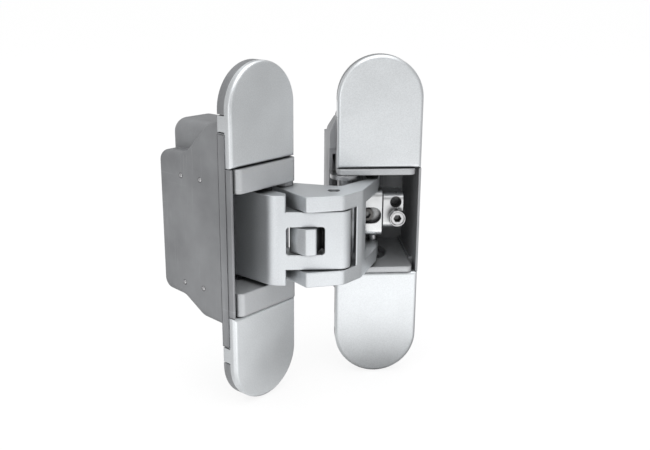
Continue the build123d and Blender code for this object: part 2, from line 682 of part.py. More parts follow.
def shoe(end):
    """Round nylon shoe on the slide pin, in the block's groove."""
    low = BLOCK_INNER + SEAT_CLEARANCE
    high = BLOCK_INNER + GROOVE_DEPTH - SLIDE_CLEARANCE
    ring = post(SLIDE_CLOSED, SHOE_RADIUS, low, high) - post(SLIDE_CLOSED, SLIDE_PIN_RADIUS, low, high)
    return ring if end > 0 else mirror(ring, Plane.XY)


# Adjuster carriage, in the frame leaf at rest


def carriage_front():
    """Depth of the carriage's front face at rest."""
    return SLIDE_REST[0] + CARRIAGE_FRONT


def carriage_back():
    """Depth of the carriage's back face at rest."""
    return SLIDE_REST[0] - CARRIAGE_BACK


def carriage_middle():
    """Middle of the carriage block across the leaf."""
    return SLIDE_REST[1] + CARRIAGE_SIDE


def clamp_middle():
    """Middle of the clamp block across the leaf."""
    return carriage_middle() - CARRIAGE_BLOCK_HALF - CLAMP_GAP - CLAMP_WIDTH / 2


def clamp_screw_hole():
    """Hole for the clamp screw's shank through the clamp and the carriage's base."""
    y = clamp_middle() - CLAMP_SCREW_SIDE
    return rod_x(CLAMP_SCREW_SHANK, carriage_back(), carriage_front(), y, CLAMP_SCREW_HEIGHT)


def carriage_lugs():
    """Toothed lugs on the near side of the carriage block's front."""
    y0 = SLIDE_REST[1] + LUG_NEAR
    y1 = SLIDE_REST[1] + LUG_FAR
    back = SLIDE_REST[0] + LUG_BACK
    front = SLIDE_REST[0] + LUG_FRONT
    low = min(span[0] for span in LUG_SPANS)
    high = max(span[1] for span in LUG_SPANS)
    lugs = block(back, front - LUG_STEM, y0, y1, low, high)
    for z0, z1 in LUG_SPANS:
        lugs = lugs + block(back, front, y0, y1, z0, z1)
    return lugs


def carriage():
    """Plated block with an oblong hole and lugs, on a base that reaches across the pocket."""
    y = carriage_middle()
    front = carriage_front()
    back = carriage_back()
    half = CARRIAGE_BLOCK_HALF
    body = block(back, front, y - half, y + half, -CARRIAGE_BOTTOM, CARRIAGE_TOP)
    body = fillet(body.edges().group_by(Axis.X)[-1].filter_by(Axis.Y), CARRIAGE_ROUNDING)
    clamp_far = clamp_middle() - CLAMP_WIDTH / 2
    base = block(back, back + CARRIAGE_BASE, clamp_far, y, -CLAMP_BOTTOM, CLAMP_TOP)
    face = Plane.YZ * SlotOverall(2 * OBLONG_HALF_LENGTH, 2 * OBLONG_HALF_HEIGHT)
    slot = Pos(front - OBLONG_DEPTH, y, 0) * extrude(face, OBLONG_DEPTH, dir=(1, 0, 0))
    body = body + carriage_lugs() + base - slot - clamp_screw_hole()
    return body - post(SLIDE_REST, SLIDE_PIN_RADIUS + RUNNING_CLEARANCE, -LEAF_LENGTH, LEAF_LENGTH)


def clamp_block():
    """Small clamp beside the carriage block, held down by the clamp screw."""
    y = clamp_middle()
    front = carriage_front()
    start = carriage_back() + CARRIAGE_BASE
    half = CLAMP_WIDTH / 2
    body = block(start, front, y - half, y + half, -CLAMP_BOTTOM, CLAMP_TOP)
    body = fillet(body.edges().group_by(Axis.X)[-1].filter_by(Axis.Y), CARRIAGE_ROUNDING)
    body = body - rod_x(CLAMP_HOLE_RADIUS, start, front, y - CLAMP_HOLE_SIDE, CLAMP_HOLE_HEIGHT)
    return body - clamp_screw_hole()


def clamp_screw():
    """Screw with a round head and a hexagon socket."""
    y = clamp_middle() - CLAMP_SCREW_SIDE
    front = carriage_front()
    tip = front + CLAMP_SCREW_PROUD
    head = rod_x(CLAMP_SCREW_RADIUS, front, tip, y, CLAMP_SCREW_HEIGHT)
    head = chamfer(head.edges().group_by(Axis.X)[-1], ARM_EDGE)
    face = Plane.YZ * RegularPolygon(SOCKET_RADIUS, 6)
    socket = Pos(tip - SOCKET_DEPTH, y, CLAMP_SCREW_HEIGHT) * extrude(face, SOCKET_DEPTH, dir=(1, 0, 0))
    return head + clamp_screw_hole() - socket


def side_screw():
    """Flat screw head at the bottom of the oblong hole."""
    low = carriage_front() - OBLONG_DEPTH
    y = carriage_middle() + SIDE_SCREW_SIDE
    head = rod_x(SIDE_SCREW_RADIUS, low, low + OBLONG_DEPTH / 2, y, 0)
    face = Plane.YZ * RegularPolygon(SOCKET_RADIUS, 6)
    return head - Pos(low, y, 0) * extrude(face, OBLONG_DEPTH, dir=(1, 0, 0))


def both_ends(name, maker):
    """Upper and lower pieces from one maker that takes the end as 1 or -1."""
    return {name.format("upper"): maker(1), name.format("lower"): maker(-1)}


DOOR_LEAF = {
    "door_housing": housing(DOOR_CAP_START),
    **both_ends("door_{}_cap", lambda end: cap(DOOR_CAP_START, end)),
    **both_ends("door_{}_block", lambda end: bearing_block(DOOR_CAP_START, end)),
    "door_block_rivets": block_rivets(),
    "door_pivot_pin": pivot_pin(),
    **both_ends("door_{}_washer", door_washer),
    "inner_arm": arm_at_rest(inner_arm()),
    "inner_slide_pin": arm_at_rest(slide_pin()),
    **both_ends("inner_{}_shoe", lambda end: arm_at_rest(shoe(end))),
}
FRAME_LEAF = {
    "frame_housing": housing(FRAME_CAP_START),
    **both_ends("frame_{}_cap", lambda end: cap(FRAME_CAP_START, end)),
    **both_ends("frame_{}_block", lambda end: bearing_block(FRAME_CAP_START, end)),
    "frame_block_rivets": block_rivets(),
    "frame_pivot_pin": pivot_pin(),
    **both_ends("frame_{}_sleeve", frame_sleeve),
    "outer_arm": arm_at_rest(outer_arm()),
    "centre_pin": arm_at_rest(centre_pin()),
    "centre_finger": arm_at_rest(centre_finger()),
    "outer_slide_pin": arm_at_rest(slide_pin()),
    **both_ends("outer_{}_shoe", lambda end: arm_at_rest(shoe(end))),
    "adjuster_carriage": carriage(),
    "clamp_block": clamp_block(),
    "clamp_screw": clamp_screw(),
    "side_screw": side_screw(),
}

os.makedirs("parts", exist_ok=True)
for name, shape in DOOR_LEAF.items():
    export_step(on_door(shape), f"parts/{name}.step")
for name, shape in FRAME_LEAF.items():
    export_step(on_frame(shape), f"parts/{name}.step")
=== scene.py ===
import json
import logging
import math
from dataclasses import dataclass
from enum import Enum

import bmesh
import bpy
from mathutils import Matrix, Vector


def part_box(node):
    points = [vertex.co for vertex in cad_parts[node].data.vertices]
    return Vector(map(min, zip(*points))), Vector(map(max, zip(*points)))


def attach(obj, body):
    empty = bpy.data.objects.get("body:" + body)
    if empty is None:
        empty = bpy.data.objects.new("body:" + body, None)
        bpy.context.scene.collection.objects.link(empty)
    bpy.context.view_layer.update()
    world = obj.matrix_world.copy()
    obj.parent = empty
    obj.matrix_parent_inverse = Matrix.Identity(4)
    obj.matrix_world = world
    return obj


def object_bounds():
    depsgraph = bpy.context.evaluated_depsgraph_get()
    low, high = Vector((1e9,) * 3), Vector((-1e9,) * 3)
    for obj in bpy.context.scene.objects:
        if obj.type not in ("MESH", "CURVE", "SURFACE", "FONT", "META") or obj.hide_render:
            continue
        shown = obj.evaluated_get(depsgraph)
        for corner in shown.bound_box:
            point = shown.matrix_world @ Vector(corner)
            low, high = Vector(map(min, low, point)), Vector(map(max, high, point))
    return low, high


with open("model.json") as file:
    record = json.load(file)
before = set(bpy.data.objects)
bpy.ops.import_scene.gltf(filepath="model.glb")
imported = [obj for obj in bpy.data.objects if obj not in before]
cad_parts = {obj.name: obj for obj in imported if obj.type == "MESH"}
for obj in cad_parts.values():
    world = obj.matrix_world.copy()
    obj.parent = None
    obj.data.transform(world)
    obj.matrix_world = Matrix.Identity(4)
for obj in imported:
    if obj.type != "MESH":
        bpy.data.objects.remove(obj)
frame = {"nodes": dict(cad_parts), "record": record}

log = logging.getLogger("door_hinge")
CAD_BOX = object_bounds()
MM = 0.001
IMAGE_WIDTH = 650
UP = Vector((0.0, 0.0, 1.0))
Colour = tuple[float, float, float]
Point = tuple[float, float, float]
Span = tuple[float, float]
UNIT: Span = (0.0, 1.0)


class Ray(Enum):
    """Light Path outputs that show the pale background."""

    CAMERA = "Is Camera Ray"
    GLOSSY = "Is Glossy Ray"
    TRANSMISSION = "Is Transmission Ray"


class Slot(Enum):
    """Material slots of the record."""

    RAW_ZINC = "raw_zinc"
    SATIN_CAP = "satin_cap"
    SATIN_BLOCK = "satin_block"
    SATIN_ARM = "satin_arm"
    SLIDE_PLASTIC = "slide_plastic"
    PLATED_ZINC = "plated_zinc"
    PLATED_SCREW = "plated_screw"
    STEEL_PIN = "steel_pin"


class Socket(Enum):
    """Socket types of the shared node groups."""

    VALUE = "NodeSocketFloat"
    NORMAL = "NodeSocketVector"


class Turn(Enum):
    """Ways to stand a board, as the directions of its two sides."""

    FACING_FRONT = ((1.0, 0.0, 0.0), (0.0, 0.0, 1.0))
    FACING_SIDE = ((0.0, 1.0, 0.0), (0.0, 0.0, 1.0))
    ON_FLOOR = ((1.0, 0.0, 0.0), (0.0, 1.0, 0.0))


def rgba(colour: object) -> object:
    """A colour with full alpha; sockets and other values pass through."""
    plain = isinstance(colour, tuple) and len(colour) == 3
    return (*colour, 1.0) if plain else colour


def shade(colour: Colour, factor: float) -> Colour:
    """A colour made lighter or darker, no lighter than white."""
    return tuple(min(1.0, factor * part) for part in colour)


class Tree:
    """Short ways to add and link nodes in one shader tree."""

    def __init__(self, tree: bpy.types.NodeTree) -> None:
        """Keep the tree and empty it.

        Args:
            tree: Tree to write to.
        """
        self.tree = tree
        self.tree.nodes.clear()

    def add(self, kind: str, **settings: object) -> bpy.types.Node:
        """Add one node.

        Args:
            kind: Node type's name.
            settings: Node properties to set.

        Returns:
            The new node.
        """
        node = self.tree.nodes.new(kind)
        for name, value in settings.items():
            setattr(node, name, value)
        return node

    def feed(self, socket: bpy.types.NodeSocket, value: object) -> None:
        """Link an output to a socket, or set the socket's own value.

        Args:
            socket: Input socket.
            value: Output socket, number, vector or colour.
        """
        if isinstance(value, bpy.types.NodeSocket):
            self.tree.links.new(value, socket)
        else:
            socket.default_value = value

    def math(self, operation: str, first: object, second: object = 0.0) -> bpy.types.NodeSocket:
        """Add a Math node.

        Args:
            operation: Blender's name of the operation.
            first: First value.
            second: Second value.

        Returns:
            The result's socket.
        """
        node = self.add("ShaderNodeMath", operation=operation)
        self.feed(node.inputs[0], first)
        self.feed(node.inputs[1], second)
        return node.outputs[0]

    def weigh(self, first: object, second: object, share: float) -> bpy.types.NodeSocket:
        """Add up two values by their shares.

        Args:
            first: First value.
            second: Second value.
            share: Share of the first value; the second has the rest.

        Returns:
            The sum's socket.
        """
        rest = self.math("MULTIPLY", second, 1.0 - share)
        return self.math("ADD", self.math("MULTIPLY", first, share), rest)

    def dot(self, first: object, second: object) -> bpy.types.NodeSocket:
        """Add a dot product.

        Args:
            first: First vector.
            second: Second vector.

        Returns:
            The product's socket.
        """
        node = self.add("ShaderNodeVectorMath", operation="DOT_PRODUCT")
        self.feed(node.inputs[0], first)
        self.feed(node.inputs[1], second)
        return node.outputs["Value"]

    def remap(
        self, value: object, start: tuple[object, object], end: Span = UNIT
    ) -> bpy.types.NodeSocket:
        """Add a clamped Map Range node.

        Args:
            value: Value to map.
            start: Range that the value has, as numbers or sockets.
            end: Range that it gets.

        Returns:
            The result's socket.
        """
        node = self.add("ShaderNodeMapRange")
        names = ("Value", "From Min", "From Max", "To Min", "To Max")
        for name, item in zip(names, (value, *start, *end)):
            self.feed(node.inputs[name], item)
        return node.outputs["Result"]

    def mix(self, factor: object, first: object, second: object) -> bpy.types.NodeSocket:
        """Add a colour Mix node.

        Args:
            factor: Share of the second colour.
            first: First colour.
            second: Second colour.

        Returns:
            The mixed colour's socket.
        """
        node = self.add("ShaderNodeMix", data_type="RGBA")
        inputs = [socket for socket in node.inputs if socket.type == "RGBA"]
        outputs = [socket for socket in node.outputs if socket.type == "RGBA"]
        self.feed(node.inputs["Factor"], factor)
        self.feed(inputs[0], rgba(first))
        self.feed(inputs[1], rgba(second))
        return outputs[0]

    def noise(self, vector: object, scale: object, detail: float) -> bpy.types.NodeSocket:
        """Add a Noise Texture.

        Args:
            vector: Coordinates.
            scale: Waves to the metre.
            detail: Number of finer layers.

        Returns:
            The value's socket.
        """
        node = self.add("ShaderNodeTexNoise")
        self.feed(node.inputs["Vector"], vector)
        self.feed(node.inputs["Scale"], scale)
        self.feed(node.inputs["Detail"], detail)
        return node.outputs[0]

    def stretched_noise(
        self, vector: object, scale: Point, detail: float, turn: Point = (0.0, 0.0, 0.0)
    ) -> bpy.types.NodeSocket:
        """Add a Noise Texture on coordinates that are turned and scaled by axis.

        Args:
            vector: Coordinates.
            scale: Waves to the metre along each axis.
            detail: Number of finer layers.
            turn: Turn about each axis, in radians.

        Returns:
            The value's socket.
        """
        node = self.add("ShaderNodeMapping")
        self.feed(node.inputs["Vector"], vector)
        self.feed(node.inputs["Rotation"], turn)
        self.feed(node.inputs["Scale"], scale)
        return self.noise(node.outputs["Vector"], 1.0, detail)

    def place(self) -> bpy.types.NodeSocket:
        """The object's own coordinates, in metres."""
        return self.add("ShaderNodeTexCoord").outputs["Object"]

    def surface(self, shader: bpy.types.NodeSocket, output: str = "ShaderNodeOutputMaterial") -> None:
        """Add the tree's output and link a shader to its surface.

        Args:
            shader: The shader's socket.
            output: Type of the output node.
        """
        self.feed(self.add(output).inputs["Surface"], shader)

    def glow_over(self, share: object, under: bpy.types.NodeSocket, strength: float = 1.0) -> None:
        """Mix a white glow over a shader, and make the two the surface.

        Args:
            share: Share of the glow.
            under: The shader's socket.
            strength: Strength of the glow.
        """
        glow = self.add("ShaderNodeEmission")
        self.feed(glow.inputs["Strength"], strength)
        mix = self.add("ShaderNodeMixShader")
        for socket, value in zip(mix.inputs, (share, under, glow.outputs["Emission"])):
            self.feed(socket, value)
        self.surface(mix.outputs["Shader"])


class GroupTree(Tree):
    """A shared node group's own tree, with named inputs and outputs."""

    def __init__(self, name: str, inputs: dict[str, float], outputs: dict[str, Socket]) -> None:
        """Make the group with its sockets.

        Args:
            name: Group name.
            inputs: Input names with default values.
            outputs: Output names with socket types.
        """
        group = bpy.data.node_groups.new(name, "ShaderNodeTree")
        for label, value in inputs.items():
            socket = group.interface.new_socket(label, in_out="INPUT", socket_type=Socket.VALUE.value)
            socket.default_value = value
        for label, kind in outputs.items():
            group.interface.new_socket(label, in_out="OUTPUT", socket_type=kind.value)
        super().__init__(group)
        self.given = self.add("NodeGroupInput").outputs
        self.result = self.add("NodeGroupOutput").inputs

    def give(self, **values: bpy.types.NodeSocket) -> bpy.types.NodeTree:
        """Link the group's outputs.

        Args:
            values: Sockets by output name.

        Returns:
            The node group.
        """
        for name, value in values.items():
            self.feed(self.result[name], value)
        return self.tree


@dataclass(frozen=True)
class SoftEdge:
    """Rounded normals at sharp edges, and a mask of those edges."""

    radius_mm: float = 0.3
    samples: int = 6
    turn_cosines: Span = (0.98, 0.75)

    def group(self) -> bpy.types.NodeTree:
        """Make the node group.

        Returns:
            The group, with the input Radius and the outputs Normal and Edge.
        """
        outputs = {"Normal": Socket.NORMAL, "Edge": Socket.VALUE}
        tree = GroupTree("soft_edge", {"Radius": self.radius_mm * MM}, outputs)
        bevel = tree.add("ShaderNodeBevel", samples=self.samples)
        tree.feed(bevel.inputs["Radius"], tree.given["Radius"])
        flat = tree.add("ShaderNodeNewGeometry").outputs["Normal"]
        turned = tree.dot(bevel.outputs["Normal"], flat)
        return tree.give(Normal=bevel.outputs["Normal"], Edge=tree.remap(turned, self.turn_cosines))


@dataclass(frozen=True)
class SatinFlake:
    """Fine metallic grain of a satin silver coat, over a slow drift of its tone."""

    scale: float = 3200.0
    drift: float = 60.0
    detail: float = 2.0
    fine_share: float = 0.6

    def group(self) -> bpy.types.NodeTree:
        """Make the node group.

        Returns:
            The group, with the inputs Scale and Drift and the outputs Cloud and Height.
        """
        outputs = {"Cloud": Socket.VALUE, "Height": Socket.VALUE}
        tree = GroupTree("satin_flake", {"Scale": self.scale, "Drift": self.drift}, outputs)
        place = tree.place()
        fine = tree.noise(place, tree.given["Scale"], self.detail)
        broad = tree.noise(place, tree.given["Drift"], self.detail)
        return tree.give(Cloud=tree.weigh(fine, broad, self.fine_share), Height=fine)


@dataclass(frozen=True)
class CastSkin:
    """Cloudy skin of a casting with fine pores."""

    scale: float = 55.0
    detail: float = 5.0
    pores: float = 2600.0
    pore_detail: float = 3.0
    pore_share: float = 0.65

    def group(self) -> bpy.types.NodeTree:
        """Make the node group.

        Returns:
            The group, with the inputs Scale and Pores and the outputs Cloud and Height.
        """
        outputs = {"Cloud": Socket.VALUE, "Height": Socket.VALUE}
        tree = GroupTree("cast_skin", {"Scale": self.scale, "Pores": self.pores}, outputs)
        place = tree.place()
        cloud = tree.noise(place, tree.given["Scale"], self.detail)
        pores = tree.noise(place, tree.given["Pores"], self.pore_detail)
        return tree.give(Cloud=cloud, Height=tree.weigh(pores, cloud, self.pore_share))


@dataclass(frozen=True)
class RubbedMarks:
    """Fine upright tool marks in patches, and a few short slanting scratches."""

    amount: float = 0.5
    mark_scale: Point = (2600.0, 2600.0, 60.0)
    mark_detail: float = 2.0
    mark_span: Span = (0.58, 0.74)
    patch_scale: float = 45.0
    patch_span: Span = (0.42, 0.62)
    scratch_scale: Point = (30.0, 30.0, 1500.0)
    scratch_turn: Point = (0.25, 0.2, 0.0)
    scratch_detail: float = 1.0
    scratch_span: Span = (0.7, 0.77)
    break_scale: float = 110.0
    break_span: Span = (0.5, 0.6)
    scratch_light: float = 0.7

    def group(self) -> bpy.types.NodeTree:
        """Make the node group.

        Returns:
            The group, with the input Amount and the output Scratch.
        """
        tree = GroupTree("rubbed_marks", {"Amount": self.amount}, {"Scratch": Socket.VALUE})
        place = tree.place()
        upright = tree.stretched_noise(place, self.mark_scale, self.mark_detail)
        patches = tree.noise(place, self.patch_scale, self.mark_detail)
        marks = tree.math(
            "MULTIPLY", tree.remap(upright, self.mark_span), tree.remap(patches, self.patch_span)
        )
        slanting = tree.stretched_noise(
            place, self.scratch_scale, self.scratch_detail, self.scratch_turn
        )
        breaks = tree.noise(place, self.break_scale, self.scratch_detail)
        lengths = tree.remap(breaks, self.break_span, (0.0, self.scratch_light))
        scratches = tree.math("MULTIPLY", tree.remap(slanting, self.scratch_span), lengths)
        both = tree.math("MAXIMUM", marks, scratches)
        return tree.give(Scratch=tree.math("MULTIPLY", both, tree.given["Amount"]))


@dataclass(frozen=True)
class CavityMask:
    """Mask of the deep corners and holes, where the metal is darkened as painted shade."""

    reach_mm: float = 3.0
    open_sky: float = 0.6
    shut_sky: float = 0.15
    samples: int = 8

    def group(self) -> bpy.types.NodeTree:
        """Make the node group.

        Returns:
            The group, with the inputs Reach, Open and Shut and the output Cavity.
        """
        inputs = {"Reach": self.reach_mm * MM, "Open": self.open_sky, "Shut": self.shut_sky}
        tree = GroupTree("painted_cavity_shade", inputs, {"Cavity": Socket.VALUE})
        sky = tree.add("ShaderNodeAmbientOcclusion", samples=self.samples)
        tree.feed(sky.inputs["Distance"], tree.given["Reach"])
        span = (tree.given["Open"], tree.given["Shut"])
        return tree.give(Cavity=tree.remap(sky.outputs["AO"], span))


class SurfaceGroups:
    """Shader node groups shared by the finishes."""

    def __init__(self) -> None:
        """Build each group once."""
        self.soft_edge = SoftEdge().group()
        self.flake = SatinFlake().group()
        self.cast_skin = CastSkin().group()
        self.wear_and_highlight = RubbedMarks().group()
        self.cavity_shade = CavityMask().group()


class MaterialTree(Tree):
    """A material's own tree: one Principled shader with shared groups around it."""

    BUMP_STRENGTH = 0.35

    def __init__(self, name: str) -> None:
        """Make the material and its shader.

        Args:
            name: Material name.
        """
        self.material = bpy.data.materials.new(name)
        self.material.use_nodes = True
        super().__init__(self.material.node_tree)
        self.shader = self.add("ShaderNodeBsdfPrincipled")
        self.surface(self.shader.outputs["BSDF"])

    def group(self, group: bpy.types.NodeTree, **values: float) -> bpy.types.Node:
        """Add a shared group with this material's own values.

        Args:
            group: Shared node group.
            values: Input values by name.

        Returns:
            The group node.
        """
        node = self.add("ShaderNodeGroup", node_tree=group)
        for name, value in values.items():
            node.inputs[name].default_value = value
        return node

    def set(self, **values: object) -> None:
        """Set or link the shader's sockets, with underscores for spaces."""
        for name, value in values.items():
            self.feed(self.shader.inputs[name.replace("_", " ")], rgba(value))

    def bump(self, height: object, normal: object, depth: float) -> None:
        """Give the shader a bump over the rounded edge normals.

        Args:
            height: Height map from 0 to 1.
            normal: Normals that the bump lies on.
            depth: Depth of the bump in metres.
        """
        node = self.add("ShaderNodeBump")
        self.feed(node.inputs["Height"], height)
        self.feed(node.inputs["Normal"], normal)
        self.feed(node.inputs["Distance"], depth)
        self.feed(node.inputs["Strength"], self.BUMP_STRENGTH)
        self.feed(self.shader.inputs["Normal"], node.outputs["Normal"])


@dataclass(frozen=True)
class Finish:
    """Values of a finish and the steps that all finishes share; lights and darks are shares of the tone."""

    tone: Colour
    roughness: float = 0.4
    rough_fall: float = 0.05
    metallic: float = 1.0
    edge_mm: float = 0.2
    # Share by which the edges are painted lighter, a painted highlight.
    edge_light: float = 1.1
    skin_mm: float = 0.004
    skin_scale: float = 240.0
    cloud_span: Span = (0.3, 0.7)
    cloud_dark: float = 0.88
    cloud_light: float = 1.0
    # The four cavity values set the painted shade of hollows and holes, darkened from an occlusion mask.
    cavity_mm: float = 4.0
    cavity_open: float = 0.6
    cavity_shut: float = 0.15
    painted_shade_dark: float = 0.15

    def material(self, name: str, groups: SurfaceGroups) -> bpy.types.Material:
        """Make the finish.

        Args:
            name: Material name.
            groups: Shared node groups.

        Returns:
            The material.
        """
        tree = MaterialTree(name)
        edge = tree.group(groups.soft_edge, Radius=self.edge_mm * MM)
        skin = self.skin(tree, groups)
        cloud = tree.remap(skin.outputs["Cloud"], self.cloud_span)
        body = tree.mix(cloud, shade(self.tone, self.cloud_dark), shade(self.tone, self.cloud_light))
        rough_ends = (self.roughness + self.rough_fall, self.roughness - self.rough_fall)
        tree.set(Base_Color=self.aged(tree, groups, body, edge.outputs["Edge"]))
        tree.set(Metallic=self.metallic)
        tree.set(Roughness=tree.remap(cloud, UNIT, rough_ends))
        tree.bump(skin.outputs["Height"], edge.outputs["Normal"], self.skin_mm * MM)
        return tree.material

    def skin(self, tree: MaterialTree, groups: SurfaceGroups) -> bpy.types.Node:
        """Cast skin at this finish's own scale."""
        return tree.group(groups.cast_skin, Scale=self.skin_scale)

    def aged(
        self, tree: MaterialTree, groups: SurfaceGroups, body: object, edge: object
    ) -> bpy.types.NodeSocket:
        """Lighten the edges as painted highlight, and on raw zinc also as wear with its tool marks; darken
        the cavities as painted shade.

        Args:
            tree: The material's tree.
            groups: Shared node groups.
            body: Colour of the plain surface.
            edge: Mask of the edges.

        Returns:
            The colour's socket.
        """
        # Edges painted lighter as highlight; on raw zinc the mask also holds tool marks and wear.
        wear_and_highlight = tree.mix(self.wear_and_highlight(tree, groups, edge), body, shade(self.tone, self.edge_light))
        # Painted shade: the hollows darken towards a share of the tone.
        cavity_shade = tree.group(
            groups.cavity_shade, Reach=self.cavity_mm * MM, Open=self.cavity_open, Shut=self.cavity_shut
        )
        return tree.mix(cavity_shade.outputs["Cavity"], wear_and_highlight, shade(self.tone, self.painted_shade_dark))

    def wear_and_highlight(self, tree: MaterialTree, groups: SurfaceGroups, edge: object) -> object:
        """Mask of the places to lighten, here the edges alone, as painted highlight."""
        return edge


@dataclass(frozen=True)
class SatinSilver(Finish):
    """Fine satin silver coat of the caps, blocks and arms, a little rougher where it is lighter."""

    rough_fall: float = -0.03
    metallic: float = 0.85
    edge_mm: float = 0.25
    # Satin edges a little lighter as painted highlight.
    edge_light: float = 1.05
    skin_mm: float = 0.006
    cloud_span: Span = (0.35, 0.65)
    cloud_dark: float = 0.92
    cloud_light: float = 1.08

    def skin(self, tree: MaterialTree, groups: SurfaceGroups) -> bpy.types.Node:
        """Fine metallic grain in place of a cast skin."""
        return tree.group(groups.flake)


@dataclass(frozen=True)
class RawZinc(Finish):
    """Raw die-cast zinc of the housings, with tool marks, and edges lightened both as wear and as painted
    highlight.
    """

    roughness: float = 0.48
    rough_fall: float = 0.07
    metallic: float = 0.7
    edge_mm: float = 0.4
    edge_light: float = 1.9
    skin_mm: float = 0.03
    skin_scale: float = 55.0
    cloud_dark: float = 0.84
    cloud_light: float = 1.14
    cavity_mm: float = 12.0
    # Painted shade in the hollows only brings the colour back to the plain tone, so the lighter marks and
    # edges fade there.
    painted_shade_dark: float = 1.0
    wear_and_highlight_amount: float = 0.45

    def wear_and_highlight(self, tree: MaterialTree, groups: SurfaceGroups, edge: object) -> object:
        """Mask of the places to lighten: tool marks and scratches, and edges that are both worn and a
        painted highlight.

        Args:
            tree: The material's tree.
            groups: Shared node groups.
            edge: Mask of the edges.

        Returns:
            The mask's socket.
        """
        marks = tree.group(groups.wear_and_highlight, Amount=self.wear_and_highlight_amount)
        # Edges lightened partly as wear, partly as painted highlight.
        worn_and_highlit = tree.math("MULTIPLY", edge, self.wear_and_highlight_amount)
        return tree.math("MAXIMUM", marks.outputs["Scratch"], worn_and_highlit)


@dataclass(frozen=True)
class BrightMetal(Finish):
    """Plated or ground metal of the adjuster and the pins."""

    # Holes in the plated parts darken strongly as painted shade.
    cavity_open: float = 0.64
    cavity_shut: float = 0.3
    painted_shade_dark: float = 0.06


@dataclass(frozen=True)
class SlidePlastic(Finish):
    """Dark plastic of the slide shoes."""

    roughness: float = 0.44
    rough_fall: float = 0.06
    metallic: float = 0.0
    skin_mm: float = 0.01
    skin_scale: float = 300.0
    cloud_dark: float = 1.0
    cloud_light: float = 1.6

    def aged(
        self, tree: MaterialTree, groups: SurfaceGroups, body: object, edge: object
    ) -> object:
        """The plain surface: plastic has no bright edges."""
        return body


class Finishes:
    """Materials of the hinge, one for each of the record's slots."""

    KINDS = {
        # cavity_open sets how much of each finish is darkened as painted shade near hollows and holes.
        Slot.RAW_ZINC: RawZinc((0.32, 0.326, 0.337)),
        Slot.SATIN_CAP: SatinSilver((0.795, 0.82, 0.838)),
        Slot.SATIN_BLOCK: SatinSilver((0.47, 0.482, 0.495), metallic=0.5, edge_mm=0.9),
        Slot.SATIN_ARM: SatinSilver((0.695, 0.72, 0.742), edge_mm=0.7, cavity_open=0.85),
        Slot.SLIDE_PLASTIC: SlidePlastic((0.05, 0.05, 0.055)),
        Slot.PLATED_ZINC: BrightMetal((0.79, 0.8, 0.805), 0.3, cavity_open=0.82),
        Slot.PLATED_SCREW: BrightMetal((0.7, 0.7, 0.71), 0.18, cavity_mm=6.0, cavity_open=0.92),
        Slot.STEEL_PIN: BrightMetal((0.55, 0.55, 0.56), 0.3),
    }

    def __init__(self) -> None:
        """Make every finish once."""
        self.groups = SurfaceGroups()
        self.materials = {slot: kind.material(slot.value, self.groups) for slot, kind in self.KINDS.items()}

    def dress(self, piece: bpy.types.Object, slot: Slot) -> None:
        """Give a piece the finish of a slot."""
        self._put_on(piece, self.materials[slot])

    def dress_apart(self, piece: bpy.types.Object, kind: Finish) -> None:
        """Give one piece a finish that no other piece has."""
        self._put_on(piece, kind.material(piece.name + "_finish", self.groups))

    @staticmethod
    def _put_on(piece: bpy.types.Object, material: bpy.types.Material) -> None:
        """Make a material the piece's only one."""
        piece.data.materials.clear()
        piece.data.materials.append(material)


@dataclass(frozen=True)
class Dome:
    """Low round head of a rivet or pin."""

    radius_mm: float
    height_mm: float
    rings: int = 4
    sides: int = 20

    def add(self, shape: bmesh.types.BMesh, end: Vector, way: Vector) -> None:
        """Add one closed head.

        Args:
            shape: Mesh to add to.
            end: Middle of the head's flat side.
            way: Direction of the head's top.
        """
        turn = way.to_track_quat("Z", "Y").to_matrix()
        top = shape.verts.new(end + way * self.height_mm * MM)
        inner = None
        for ring in range(1, self.rings + 1):
            outer = self._ring(shape, end, turn, ring / self.rings)
            for side in range(self.sides):
                following = (side + 1) % self.sides
                if inner is None:
                    shape.faces.new((top, outer[side], outer[following]))
                else:
                    shape.faces.new((inner[side], outer[side], outer[following], inner[following]))
            inner = outer
        shape.faces.new(list(reversed(inner)))

    def _ring(
        self, shape: bmesh.types.BMesh, end: Vector, turn: Matrix, share: float
    ) -> list[bmesh.types.BMVert]:
        """Add one ring of points.

        Args:
            shape: Mesh to add to.
            end: Middle of the head's flat side.
            turn: Turn from upright to the head's direction.
            share: Share of the head's radius.

        Returns:
            The ring's points in order.
        """
        radius = self.radius_mm * share * MM
        height = self.height_mm * math.cos(share * math.pi / 2) * MM
        angles = [2 * math.pi * side / self.sides for side in range(self.sides)]
        steps = [Vector((radius * math.cos(a), radius * math.sin(a), height)) for a in angles]
        return [shape.verts.new(end + turn @ step) for step in steps]


@dataclass
class SubAssembly:
    """Nodes that come off the bench together, and the small forms added to them."""

    finishes: Finishes
    body: str
    prefixes: tuple[str, ...]

    def build(self) -> list[bpy.types.Object]:
        """Dress the nodes, then add this sub-assembly's own pieces.

        Returns:
            The dressed nodes and the new pieces.
        """
        nodes = []
        for row in frame["record"]["subparts"]:
            if row["node"].startswith(self.prefixes):
                node = frame["nodes"][row["node"]]
                self.finishes.dress(node, Slot(row["material_slot"]))
                nodes.append(node)
        return nodes + self.add_pieces()

    def add_pieces(self) -> list[bpy.types.Object]:
        """No pieces: a sub-assembly with pieces of its own has its own method."""
        return []

    def piece(self, name: str, shape: bmesh.types.BMesh, slot: Slot) -> bpy.types.Object:
        """Make a piece that rides on this sub-assembly's body.

        Args:
            name: Piece name.
            shape: Mesh in the frame's metres, freed here.
            slot: Material slot that gives its finish.

        Returns:
            The new piece.
        """
        mesh = bpy.data.meshes.new(name)
        shape.to_mesh(mesh)
        shape.free()
        for polygon in mesh.polygons:
            polygon.use_smooth = True
        piece = bpy.data.objects.new(name, mesh)
        bpy.context.scene.collection.objects.link(piece)
        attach(piece, self.body)
        self.finishes.dress(piece, slot)
        return piece


